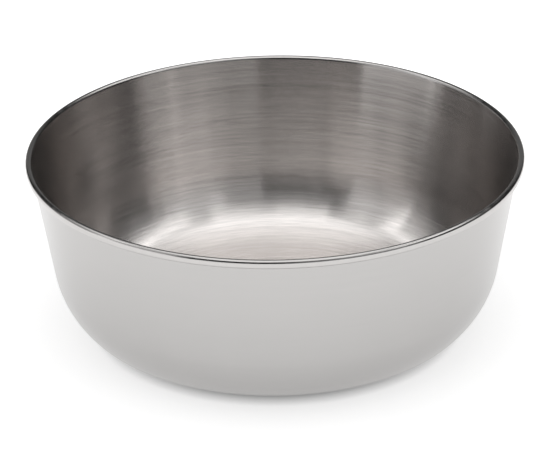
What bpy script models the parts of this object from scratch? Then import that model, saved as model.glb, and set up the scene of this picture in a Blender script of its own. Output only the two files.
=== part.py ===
"""Shaving bowl: one round, flat-bottomed bowl drawn from a single disc of thin stainless sheet.

The sheet runs from a flat floor through a slow blend, a tight heel bend and a wider flank bend into a
straight, slightly leaning wall. Its top is curled outward and down into a small open roll, with the
cut edge underneath. Nothing is attached to it.
Metres, +Z up, origin at the centre of the underside, axis of the bowl along Z.
"""
import math

import bmesh
import bpy

# Driving dimensions. Radii of bends are those of the outer face of the sheet.
RIM_RADIUS = 0.0650  # from the axis to the outermost face of the curl
HEIGHT = 0.0484  # from the underside to the top of the curl
SHEET = 0.0004  # thickness of the stainless sheet
FLOOR_RADIUS = 0.0369  # flat part of the floor
BLEND_RADIUS = 0.0290  # slow rise of the floor towards the heel
BLEND_TURN = math.radians(25.8)  # slope at which the blend ends
HEEL_RADIUS = 0.0100  # tight bend round the floor
HEEL_TURN = math.radians(47.3)  # slope at which the heel ends
FLANK_RADIUS = 0.0242  # wider bend between the heel and the wall
WALL_LEAN = math.radians(9.6)  # wall, outward from vertical
CURL_DROP = 0.0006  # short straight drop on the outermost side of the curl
CURL_TURN = math.radians(230.0)  # how far the rim is rolled over, starting from the wall

# How finely the round stretches are divided.
SEGMENTS = 96  # round the axis
BLEND_STEPS = 4
HEEL_STEPS = 4
FLANK_STEPS = 5
CURL_STEPS = 8  # from the wall over the top
TUCK_STEPS = 4  # from the drop to the cut edge underneath
EDGE_STEPS = 4  # round the rounded cut edge of the sheet
MERGE_DISTANCE = 1e-6

# Brushed stainless steel.
STEEL_COLOUR = (0.62, 0.60, 0.58, 1.0)
STEEL_ROUGHNESS = 0.30
STEEL_METALLIC = 1.0


def clear_scene():
    for scene_object in list(bpy.data.objects):
        bpy.data.objects.remove(scene_object, do_unlink=True)


def steel_material():
    material = bpy.data.materials.new("brushed_steel")
    material.use_nodes = True
    shader = material.node_tree.nodes["Principled BSDF"]
    shader.inputs["Base Color"].default_value = STEEL_COLOUR
    shader.inputs["Roughness"].default_value = STEEL_ROUGHNESS
    shader.inputs["Metallic"].default_value = STEEL_METALLIC
    material.diffuse_color = STEEL_COLOUR
    return material


def bend(start, end_slope, radius, steps):
    """Stations along a bend of the middle of the sheet; a station is (radius, height, slope)."""
    r, z, slope = start
    signed_radius = math.copysign(radius, end_slope - slope)
    stations = []
    for step in range(1, steps + 1):
        angle = slope + (end_slope - slope) * step / steps
        stations.append((
            r + signed_radius * (math.sin(angle) - math.sin(slope)),
            z + signed_radius * (math.cos(slope) - math.cos(angle)),
            angle,
        ))
    return stations


def straight(start, length):
    """The station at the end of a straight stretch."""
    r, z, slope = start
    return (r + length * math.cos(slope), z + length * math.sin(slope), slope)


def sheet_middle():
    """Stations along the middle of the sheet, from the axis to the centre of the rounded cut edge."""
    half_sheet = SHEET / 2.0
    wall_slope = math.pi / 2.0 - WALL_LEAN
    stations = [(0.0, half_sheet, 0.0), (FLOOR_RADIUS, half_sheet, 0.0)]
    stations += bend(stations[-1], BLEND_TURN, BLEND_RADIUS - half_sheet, BLEND_STEPS)
    stations += bend(stations[-1], HEEL_TURN, HEEL_RADIUS - half_sheet, HEEL_STEPS)
    stations += bend(stations[-1], wall_slope, FLANK_RADIUS - half_sheet, FLANK_STEPS)

    # The bend over the top carries on from the wall and touches the rim's radius and height.
    wall_foot = stations[-1]
    gap_r = RIM_RADIUS - half_sheet - wall_foot[0]
    gap_z = HEIGHT - half_sheet - wall_foot[1]
    wall_offset = gap_r * math.sin(wall_slope) - gap_z * math.cos(wall_slope)
    curl_radius = wall_offset / (1.0 + math.sin(wall_slope) - math.cos(wall_slope))
    to_centre_r = gap_r - curl_radius
    to_centre_z = gap_z - curl_radius
    wall_length = to_centre_r * math.cos(wall_slope) + to_centre_z * math.sin(wall_slope)

    stations.append(straight(wall_foot, wall_length))
    stations += bend(stations[-1], -math.pi / 2.0, curl_radius, CURL_STEPS)
    stations.append(straight(stations[-1], CURL_DROP))
    stations += bend(stations[-1], wall_slope - CURL_TURN, curl_radius, TUCK_STEPS)
    return stations


def offset_point(station, direction, distance):
    """A point of the section at a distance from a station, along a direction in the section."""
    return (
        station[0] + distance * math.cos(direction),
        0.0,
        station[1] + distance * math.sin(direction),
    )


def bowl_section():
    """Half section of the shell: out along the underside, up, round the edge and back inside."""
    half_sheet = SHEET / 2.0
    quarter = math.pi / 2.0
    stations = sheet_middle()
    edge = stations[-1]
    outside = [offset_point(station, station[2] - quarter, half_sheet) for station in stations]
    inside = [offset_point(station, station[2] + quarter, half_sheet) for station in stations]
    rounded = [
        offset_point(edge, edge[2] - quarter + math.pi * step / EDGE_STEPS, half_sheet)
        for step in range(1, EDGE_STEPS)
    ]
    return outside + rounded + inside[::-1]


def turned_mesh(name, section):
    """The section turned a full circle about Z into one closed mesh."""
    shell = bmesh.new()
    corners = [shell.verts.new(point) for point in section]
    sides = [shell.edges.new(pair) for pair in zip(corners, corners[1:])]
    bmesh.ops.spin(
        shell,
        geom=corners + sides,
        cent=(0.0, 0.0, 0.0),
        axis=(0.0, 0.0, 1.0),
        angle=2.0 * math.pi,
        steps=SEGMENTS,
        use_merge=True,
    )
    bmesh.ops.remove_doubles(shell, verts=shell.verts, dist=MERGE_DISTANCE)
    bmesh.ops.recalc_face_normals(shell, faces=shell.faces)
    mesh = bpy.data.meshes.new(name)
    shell.to_mesh(mesh)
    shell.free()
    mesh.shade_smooth()
    mesh.set_sharp_from_angle(angle=math.radians(30.0))
    return mesh


def add_bowl():
    bowl = bpy.data.objects.new("bowl", turned_mesh("bowl", bowl_section()))
    bowl.data.materials.append(steel_material())
    bpy.context.scene.collection.objects.link(bowl)


clear_scene()
add_bowl()
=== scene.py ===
"""Looks for the shaving bowl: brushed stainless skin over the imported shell, pale floor, soft studio light.

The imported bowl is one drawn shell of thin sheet. It is stood for by a much finer mesh of the same
section in three finishes: satin outside, rings of lathe brushing inside, and a smooth rolled rim.
Metres, +Z up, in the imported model's own frame.
"""
import math

import bmesh
import bpy
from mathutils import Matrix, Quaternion, Vector


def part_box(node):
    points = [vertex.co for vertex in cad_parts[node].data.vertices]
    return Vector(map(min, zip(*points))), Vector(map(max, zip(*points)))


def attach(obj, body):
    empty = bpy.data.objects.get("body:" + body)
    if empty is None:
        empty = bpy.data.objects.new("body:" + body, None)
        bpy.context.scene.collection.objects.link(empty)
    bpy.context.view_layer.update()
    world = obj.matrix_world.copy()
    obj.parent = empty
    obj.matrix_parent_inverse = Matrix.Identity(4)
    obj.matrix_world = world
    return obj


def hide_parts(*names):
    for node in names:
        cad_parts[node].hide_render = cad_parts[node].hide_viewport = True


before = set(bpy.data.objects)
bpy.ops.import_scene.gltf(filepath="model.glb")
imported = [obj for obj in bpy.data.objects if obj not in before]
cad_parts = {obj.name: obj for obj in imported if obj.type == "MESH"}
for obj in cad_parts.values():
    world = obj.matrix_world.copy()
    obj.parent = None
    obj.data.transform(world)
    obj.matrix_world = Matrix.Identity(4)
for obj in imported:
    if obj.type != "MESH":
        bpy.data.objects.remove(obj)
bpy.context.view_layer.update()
bowl_low, bowl_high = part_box("bowl")

# Section of the sheet, as in the part. Radii of bends are those of its outer face.
RIM_RADIUS = bowl_high.x
HEIGHT = bowl_high.z
SHEET = 0.0004
FLOOR_RADIUS = 0.0369
BLEND_RADIUS = 0.0290
BLEND_TURN = math.radians(25.8)
HEEL_RADIUS = 0.0100
HEEL_TURN = math.radians(47.3)
FLANK_RADIUS = 0.0242
WALL_LEAN = math.radians(9.6)
CURL_DROP = 0.0006  # short straight drop on the outermost side of the curl
CURL_TURN = math.radians(230.0)  # how far the rim is rolled over, starting from the wall

# How finely each stretch of the section, and the turn round the axis, are divided.
SEGMENTS = 288
FLOOR_STEPS = 24
BLEND_STEPS = 16
HEEL_STEPS = 16
FLANK_STEPS = 16
WALL_STEPS = 40
CURL_STEPS = 36  # from the wall over the top
DROP_STEPS = 2
TUCK_STEPS = 16  # from the drop to the cut edge underneath
EDGE_STEPS = 12  # round the rounded cut edge
AXIS_TOLERANCE = 1e-9  # a smaller radius is a point on the axis

# Finishes, in the order of the skin's material slots.
OUTSIDE, RIM, INSIDE = range(3)


def bend(start, end_slope, radius, steps):
    """Stations along a bend of the middle of the sheet; a station is (radius, height, slope)."""
    r, z, slope = start
    signed_radius = math.copysign(radius, end_slope - slope)
    stations = []
    for step in range(1, steps + 1):
        angle = slope + (end_slope - slope) * step / steps
        stations.append((
            r + signed_radius * (math.sin(angle) - math.sin(slope)),
            z + signed_radius * (math.cos(slope) - math.cos(angle)),
            angle,
        ))
    return stations


def straight(start, length, steps):
    """Stations along a straight stretch."""
    r, z, slope = start
    along = [length * step / steps for step in range(1, steps + 1)]
    return [(r + d * math.cos(slope), z + d * math.sin(slope), slope) for d in along]


def sheet_middle():
    """Stations along the middle of the sheet, from the axis to the centre of the rounded cut edge."""
    half_sheet = SHEET / 2.0
    wall_slope = math.pi / 2.0 - WALL_LEAN
    stations = [(0.0, half_sheet, 0.0)]
    stations += straight(stations[-1], FLOOR_RADIUS, FLOOR_STEPS)
    stations += bend(stations[-1], BLEND_TURN, BLEND_RADIUS - half_sheet, BLEND_STEPS)
    stations += bend(stations[-1], HEEL_TURN, HEEL_RADIUS - half_sheet, HEEL_STEPS)
    stations += bend(stations[-1], wall_slope, FLANK_RADIUS - half_sheet, FLANK_STEPS)

    # The bend over the top carries on from the wall and touches the rim's radius and height.
    wall_foot = stations[-1]
    gap_r = RIM_RADIUS - half_sheet - wall_foot[0]
    gap_z = HEIGHT - half_sheet - wall_foot[1]
    wall_offset = gap_r * math.sin(wall_slope) - gap_z * math.cos(wall_slope)
    curl_radius = wall_offset / (1.0 + math.sin(wall_slope) - math.cos(wall_slope))
    to_centre_r = gap_r - curl_radius
    to_centre_z = gap_z - curl_radius
    wall_length = to_centre_r * math.cos(wall_slope) + to_centre_z * math.sin(wall_slope)

    stations += straight(wall_foot, wall_length, WALL_STEPS)
    stations += bend(stations[-1], -math.pi / 2.0, curl_radius, CURL_STEPS)
    stations += straight(stations[-1], CURL_DROP, DROP_STEPS)
    stations += bend(stations[-1], wall_slope - CURL_TURN, curl_radius, TUCK_STEPS)
    return stations


def offset_point(station, direction, finish):
    """A point half a sheet from a station, with the finish of the stretch that starts there."""
    half_sheet = SHEET / 2.0
    r = station[0] + half_sheet * math.cos(direction)
    z = station[1] + half_sheet * math.sin(direction)
    return (r, z, finish)


def skin_section():
    """Half section of the skin: out along the underside, up, round the curl's cut edge and back."""
    quarter = math.pi / 2.0
    stations = sheet_middle()
    edge = stations[-1]
    wall_top = len(stations) - 1 - CURL_STEPS - DROP_STEPS - TUCK_STEPS
    shell = stations[:wall_top]
    curl = stations[wall_top:-1]
    turns = [edge[2] - quarter + math.pi * step / EDGE_STEPS for step in range(EDGE_STEPS)]
    section = [offset_point(station, station[2] - quarter, OUTSIDE) for station in shell]
    section += [offset_point(station, station[2] - quarter, RIM) for station in curl]
    section += [offset_point(edge, direction, RIM) for direction in turns]
    section += [offset_point(edge, edge[2] + quarter, RIM)]
    section += [offset_point(station, station[2] + quarter, RIM) for station in curl[:0:-1]]
    section += [offset_point(curl[0], curl[0][2] + quarter, INSIDE)]
    section += [offset_point(station, station[2] + quarter, INSIDE) for station in shell[::-1]]
    return section


def turned_skin(name):
    """The section turned about Z. Each vertex keeps its distance along the section as 'ring'."""
    section = skin_section()
    skin = bmesh.new()
    ring_layer = skin.verts.layers.float.new("ring")
    turns = [2.0 * math.pi * k / SEGMENTS for k in range(SEGMENTS)]
    circles = []
    along = 0.0
    previous = section[0]
    for r, z, finish in section:
        along += math.hypot(r - previous[0], z - previous[1])
        previous = (r, z)
        if r < AXIS_TOLERANCE:
            circle = [skin.verts.new((0.0, 0.0, z))]
        else:
            circle = [skin.verts.new((r * math.cos(turn), r * math.sin(turn), z)) for turn in turns]
        for vert in circle:
            vert[ring_layer] = along
        circles.append(circle)
    for (_, _, finish), low, high in zip(section, circles, circles[1:]):
        for k in range(SEGMENTS):
            corners = [low[k % len(low)], low[(k + 1) % len(low)]]
            corners += [high[(k + 1) % len(high)], high[k % len(high)]]
            face = skin.faces.new(list(dict.fromkeys(corners)))
            face.material_index = finish
            face.smooth = True
    bmesh.ops.recalc_face_normals(skin, faces=skin.faces)
    mesh = bpy.data.meshes.new(name)
    skin.to_mesh(mesh)
    skin.free()
    return mesh


# ---------------------------------------------------------------- finishes
# Colours are linear; depths are in metres; counts of lines or blotches are per metre.
INSIDE_STEEL = (0.715, 0.686, 0.669)
# The outside colour is partly the duller satin finish and partly painted shade: the same steel as inside,
# darkened to make up for the glowing table it reflects.
OUTSIDE_STEEL_AND_PAINTED_SHADE = (0.458, 0.449, 0.442)
# The rim colour is partly the rolled finish and partly painted shade: the same steel, darkened to make up
# for the glowing table its outside reflects.
RIM_STEEL_AND_PAINTED_SHADE = (0.500, 0.487, 0.478)
ACROSS_THE_RINGS = 0.25  # turns the stretched highlight from along the rings to across them


class Finish:
    """A metal whose colour, roughness and surface follow a few layers of noise."""

    def __init__(self, name, steel, roughness, anisotropy):
        self.material = bpy.data.materials.new(name)
        self.material.use_nodes = True
        self.tree = self.material.node_tree
        self.shader = self.tree.nodes["Principled BSDF"]
        self.steel = steel
        self.roughness = roughness
        self.set_input("Metallic", 1.0)
        self.set_input("Roughness", roughness)
        self.set_input("Anisotropic", anisotropy)
        self.set_input("Anisotropic Rotation", ACROSS_THE_RINGS)
        self.set_input("Base Color", (*steel, 1.0))
        tangent = self.tree.nodes.new("ShaderNodeTangent")
        tangent.direction_type = "RADIAL"
        tangent.axis = "Z"
        self.tree.links.new(tangent.outputs["Tangent"], self.shader.inputs["Tangent"])
        self.place = self.tree.nodes.new("ShaderNodeTexCoord").outputs["Object"]

    def set_input(self, name, value):
        self.shader.inputs[name].default_value = value

    def calculate(self, operation, first, second):
        node = self.tree.nodes.new("ShaderNodeMath")
        node.operation = operation
        for socket, value in zip(node.inputs, (first, second)):
            if isinstance(value, float):
                socket.default_value = value
            else:
                self.tree.links.new(value, socket)
        return node.outputs["Value"]

    def noise(self, vector, detail):
        """Noise with its middle at zero, about -0.3 to 0.3."""
        node = self.tree.nodes.new("ShaderNodeTexNoise")
        node.inputs["Scale"].default_value = 1.0
        node.inputs["Detail"].default_value = detail
        self.tree.links.new(vector, node.inputs["Vector"])
        return self.calculate("SUBTRACT", node.outputs["Fac"], 0.5)

    def lines(self, across, around, detail):
        """Noise drawn out into lines round the axis: counts per metre across and along the lines."""
        ring = self.tree.nodes.new("ShaderNodeAttribute")
        ring.attribute_name = "ring"
        split = self.tree.nodes.new("ShaderNodeSeparateXYZ")
        join = self.tree.nodes.new("ShaderNodeCombineXYZ")
        self.tree.links.new(self.place, split.inputs["Vector"])
        self.tree.links.new(self.calculate("MULTIPLY", ring.outputs["Fac"], across), join.inputs["X"])
        self.tree.links.new(self.calculate("MULTIPLY", split.outputs["X"], around), join.inputs["Y"])
        self.tree.links.new(self.calculate("MULTIPLY", split.outputs["Y"], around), join.inputs["Z"])
        return self.noise(join.outputs["Vector"], detail)

    def blotches(self, count, detail):
        """Noise of the same size in every direction."""
        grow = self.tree.nodes.new("ShaderNodeVectorMath")
        grow.operation = "SCALE"
        grow.inputs["Scale"].default_value = count
        self.tree.links.new(self.place, grow.inputs["Vector"])
        return self.noise(grow.outputs["Vector"], detail)

    def total(self, layers):
        """Weighted sum of layers, given as (layer, weight)."""
        weighted = [self.calculate("MULTIPLY", layer, weight) for layer, weight in layers]
        sum_so_far = weighted[0]
        for layer in weighted[1:]:
            sum_so_far = self.calculate("ADD", sum_so_far, layer)
        return sum_so_far

    def shade(self, layers):
        """Vary the colour: a weight is the change in brightness for one whole unit of its layer."""
        factor = self.calculate("ADD", self.total(layers), 1.0)
        tint = self.tree.nodes.new("ShaderNodeVectorMath")
        tint.operation = "SCALE"
        tint.inputs["Vector"].default_value = self.steel
        self.tree.links.new(factor, tint.inputs["Scale"])
        self.tree.links.new(tint.outputs["Vector"], self.shader.inputs["Base Color"])

    def roughen(self, layers):
        """Vary the roughness about its base value."""
        value = self.calculate("ADD", self.total(layers), self.roughness)
        self.tree.links.new(value, self.shader.inputs["Roughness"])

    def engrave(self, layers):
        """Raise and sink the surface: a weight is the height in metres of one whole unit."""
        bump = self.tree.nodes.new("ShaderNodeBump")
        bump.inputs["Strength"].default_value = 1.0
        bump.inputs["Distance"].default_value = 1.0
        self.tree.links.new(self.total(layers), bump.inputs["Height"])
        self.tree.links.new(bump.outputs["Normal"], self.shader.inputs["Normal"])


def ringed_inside():
    """Lathe brushing: long fine rings, short strokes between them and a few broad bands."""
    finish = Finish("ringed_inside", INSIDE_STEEL, roughness=0.21, anisotropy=1.0)
    rings = finish.lines(across=1900.0, around=14.0, detail=2.0)
    strokes = finish.lines(across=3400.0, around=160.0, detail=1.0)
    bands = finish.lines(across=260.0, around=5.0, detail=1.0)
    finish.shade([(rings, 0.33), (strokes, 0.28), (bands, 0.05)])
    finish.roughen([(rings, 0.05), (bands, 0.04)])
    finish.engrave([(rings, 6e-6), (strokes, 2e-6)])
    return finish.material


def satin_outside():
    """Even satin: a very fine grain, faint rings and a few faint marks from handling."""
    # Its colour is steel darkened with painted shade, not only the satin finish.
    finish = Finish("satin_outside", OUTSIDE_STEEL_AND_PAINTED_SHADE, roughness=0.26, anisotropy=0.2)
    grain = finish.blotches(count=3500.0, detail=1.0)
    rings = finish.lines(across=900.0, around=12.0, detail=1.0)
    marks = finish.blotches(count=90.0, detail=0.0)
    finish.shade([(grain, 0.02), (rings, 0.03), (marks, 0.02)])
    finish.roughen([(marks, 0.03), (rings, 0.02)])
    finish.engrave([(rings, 1e-6)])
    return finish.material


def smooth_rim():
    """The rolled rim, smooth from rolling, with small dull worn patches."""
    # Its colour is steel darkened with painted shade, as well as the rolled finish.
    finish = Finish("smooth_rim", RIM_STEEL_AND_PAINTED_SHADE, roughness=0.20, anisotropy=0.0)
    wear = finish.blotches(count=500.0, detail=2.0)
    finish.shade([(wear, 0.10)])
    finish.roughen([(wear, 0.25)])
    return finish.material


skin = bpy.data.objects.new("bowl_skin", turned_skin("bowl_skin"))
bpy.context.scene.collection.objects.link(skin)
skin.data.materials.append(satin_outside())
skin.data.materials.append(smooth_rim())
skin.data.materials.append(ringed_inside())
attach(skin, "root")
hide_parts("bowl")

# ---------------------------------------------------------------- floor
# A pale table lit softly from below, brighter farther out, with painted shadow under the bowl: a disc where
# nothing glows and a dimmer glow round it stand in for the bowl's shadow on the floor.
FLOOR_SIZE = 8.0
FLOOR_SHADE = (0.6, 0.6, 0.6, 1.0)
FLOOR_ROUGHNESS = 0.9
WHITE = (1.0, 1.0, 1.0, 1.0)
# Painted shadow: no glow under the bowl, fading in out to the next radius.
PAINTED_SHADOW_RADIUS = 0.042  # nothing glows inside this distance from the axis
PAINTED_SHADOW_FADE_RADIUS = 0.050  # from here out the table glows
NEAR_GLOW = 0.66
# The glow is dimmer near the bowl and rises farther out, a painted shade round its foot.
FAR_GLOW_STARTS = 0.055  # from here the glow rises further
FAR_GLOW_FULL = 0.115
FAR_GLOW_ADDED = 0.25

bpy.ops.mesh.primitive_plane_add(size=FLOOR_SIZE)
floor = bpy.context.object
floor.name = "floor"
floor_material = bpy.data.materials.new("pale_floor")
floor_material.use_nodes = True
floor_tree = floor_material.node_tree
floor_shader = floor_tree.nodes["Principled BSDF"]
floor_shader.inputs["Base Color"].default_value = FLOOR_SHADE
floor_shader.inputs["Roughness"].default_value = FLOOR_ROUGHNESS
floor_shader.inputs["Emission Color"].default_value = WHITE
place = floor_tree.nodes.new("ShaderNodeTexCoord")
distance_out = floor_tree.nodes.new("ShaderNodeVectorMath")
distance_out.operation = "LENGTH"
floor_tree.links.new(place.outputs["Object"], distance_out.inputs[0])
glow = floor_tree.nodes.new("ShaderNodeMath")
glow.operation = "ADD"
for socket, starts, full, strength in (
    (glow.inputs[0], PAINTED_SHADOW_RADIUS, PAINTED_SHADOW_FADE_RADIUS, NEAR_GLOW),
    (glow.inputs[1], FAR_GLOW_STARTS, FAR_GLOW_FULL, FAR_GLOW_ADDED),
):
    rise = floor_tree.nodes.new("ShaderNodeMapRange")
    rise.inputs["From Min"].default_value = starts
    rise.inputs["From Max"].default_value = full
    rise.inputs["To Max"].default_value = strength
    floor_tree.links.new(distance_out.outputs["Value"], rise.inputs["Value"])
    floor_tree.links.new(rise.outputs["Result"], socket)
floor_tree.links.new(glow.outputs["Value"], floor_shader.inputs["Emission Strength"])
floor.data.materials.append(floor_material)

# ---------------------------------------------------------------- camera
ELEVATION = math.radians(25.84)  # above level, as seen from the target
ROLL = math.radians(-0.843)
DISTANCE = 0.845
LENS = 209.78
SENSOR_WIDTH = 36.0
TARGET_BELOW_RIM = 0.02325  # the target is on the axis, this far below the rim's top
AIM_SIDE = -0.00023  # the camera looks this far beside the target
AIM_UP = 0.00161  # and this far above it in the picture

target = Vector((0.0, 0.0, HEIGHT - TARGET_BELOW_RIM))
towards_camera = Vector((0.0, -math.cos(ELEVATION), math.sin(ELEVATION)))
picture_up = Vector((0.0, math.sin(ELEVATION), math.cos(ELEVATION)))
camera_data = bpy.data.cameras.new("camera")
camera_data.lens = LENS
camera_data.sensor_width = SENSOR_WIDTH
camera = bpy.data.objects.new("camera", camera_data)
bpy.context.scene.collection.objects.link(camera)
camera.location = target + towards_camera * DISTANCE
aim = target + picture_up * AIM_UP + Vector((AIM_SIDE, 0.0, 0.0))
camera.rotation_mode = "QUATERNION"
view = (aim - camera.location).to_track_quat("-Z", "Y")
camera.rotation_quaternion = view @ Quaternion((0.0, 0.0, 1.0), ROLL)
bpy.context.scene.camera = camera
bpy.context.scene.view_settings.view_transform = "Standard"

# ---------------------------------------------------------------- light
ROOM_GLOW = 0.02
LAMP_DISTANCE = 1.5

world = bpy.data.worlds.new("studio")
world.use_nodes = True
bpy.context.scene.world = world
world.node_tree.nodes["Background"].inputs["Color"].default_value = WHITE
world.node_tree.nodes["Background"].inputs["Strength"].default_value = ROOM_GLOW

# Panels round the bowl, by the directions each fills as seen from it, in degrees: name, azimuth from
# and to (0 is the camera's side, positive towards +X), elevation from and to, brightness.
SIDE_PANELS = (
    ("front_right_low", 7.5, 31.0, 0.0, 16.0, 0.25),
    ("front_right", 7.5, 31.0, 16.0, 32.0, 0.35),
    ("front_right_high", 7.5, 31.0, 32.0, 48.0, 0.06),
    ("right_low", 31.0, 66.0, 0.0, 16.0, 0.15),
    ("right", 31.0, 66.0, 16.0, 32.0, 0.40),
    ("right_high", 31.0, 66.0, 32.0, 48.0, 0.65),
    ("left_low", -88.0, -43.5, 0.0, 16.0, 1.00),
    ("left", -88.0, -43.5, 16.0, 32.0, 0.55),
    ("left_high", -88.0, -43.5, 32.0, 48.0, 0.60),
    ("left_strip", -83.0, -79.0, 0.0, 46.0, 0.95),
    ("left_slit", -25.0, -22.0, 0.0, 46.0, 0.08),
    ("far_left_low", -130.0, -88.0, 0.0, 16.0, 0.35),
    ("far_left", -115.0, -88.0, 16.0, 38.0, 0.50),
    ("far_left_high", -130.0, -80.0, 38.0, 54.0, 0.95),
    ("far_right", 86.0, 112.0, 16.0, 38.0, 0.10),
    ("far_right_high", 66.0, 120.0, 38.0, 54.0, 1.40),
    ("backdrop", 150.0, 210.0, 2.0, 30.0, 0.15),
)
# Level panels overhead, all at one height: name, x from and to, y from and to in metres, brightness.
TOP_PANELS = (
    ("overhead", -0.70, 0.70, -0.70, 0.70, 1.40),
    ("overhead_front_left", -0.70, 0.00, -0.95, -0.70, 1.85),
    ("overhead_front_right", 0.00, 0.90, -0.95, -0.70, 1.30),
    ("overhead_front", -0.45, 0.70, -1.30, -0.95, 0.55),
    ("overhead_right", 0.70, 1.25, -0.70, 0.70, 0.80),
    ("overhead_left", -1.25, -0.70, -0.70, 0.70, 0.80),
    ("overhead_back_left", -1.10, 0.00, 0.70, 1.25, 0.60),
    ("overhead_back_right", 0.00, 1.10, 0.70, 1.25, 1.20),
)


def hang_panel(name, location, facing, width, depth, brightness):
    """An evenly bright rectangle that the camera itself doesn't see."""
    data = bpy.data.lights.new(name, "AREA")
    data.shape = "RECTANGLE"
    data.size = width
    data.size_y = depth
    data.energy = brightness * math.pi * width * depth
    lamp = bpy.data.objects.new(name, data)
    lamp.location = location
    lamp.rotation_mode = "QUATERNION"
    lamp.rotation_quaternion = facing.to_track_quat("-Z", "Y")
    lamp.visible_camera = False
    bpy.context.scene.collection.objects.link(lamp)


for name, azimuth_from, azimuth_to, elevation_from, elevation_to, brightness in SIDE_PANELS:
    azimuth = math.radians((azimuth_from + azimuth_to) / 2.0)
    elevation = math.radians((elevation_from + elevation_to) / 2.0)
    level = math.cos(elevation)
    outward = Vector((math.sin(azimuth) * level, -math.cos(azimuth) * level, math.sin(elevation)))
    width = 2.0 * LAMP_DISTANCE * level * math.tan(math.radians(azimuth_to - azimuth_from) / 2.0)
    height = 2.0 * LAMP_DISTANCE * math.tan(math.radians(elevation_to - elevation_from) / 2.0)
    hang_panel(name, target + outward * LAMP_DISTANCE, -outward, width, height, brightness)

for name, x_from, x_to, y_from, y_to, brightness in TOP_PANELS:
    above = Vector(((x_from + x_to) / 2.0, (y_from + y_to) / 2.0, LAMP_DISTANCE))
    hang_panel(name, above, Vector((0.0, 0.0, -1.0)), x_to - x_from, y_to - y_from, brightness)
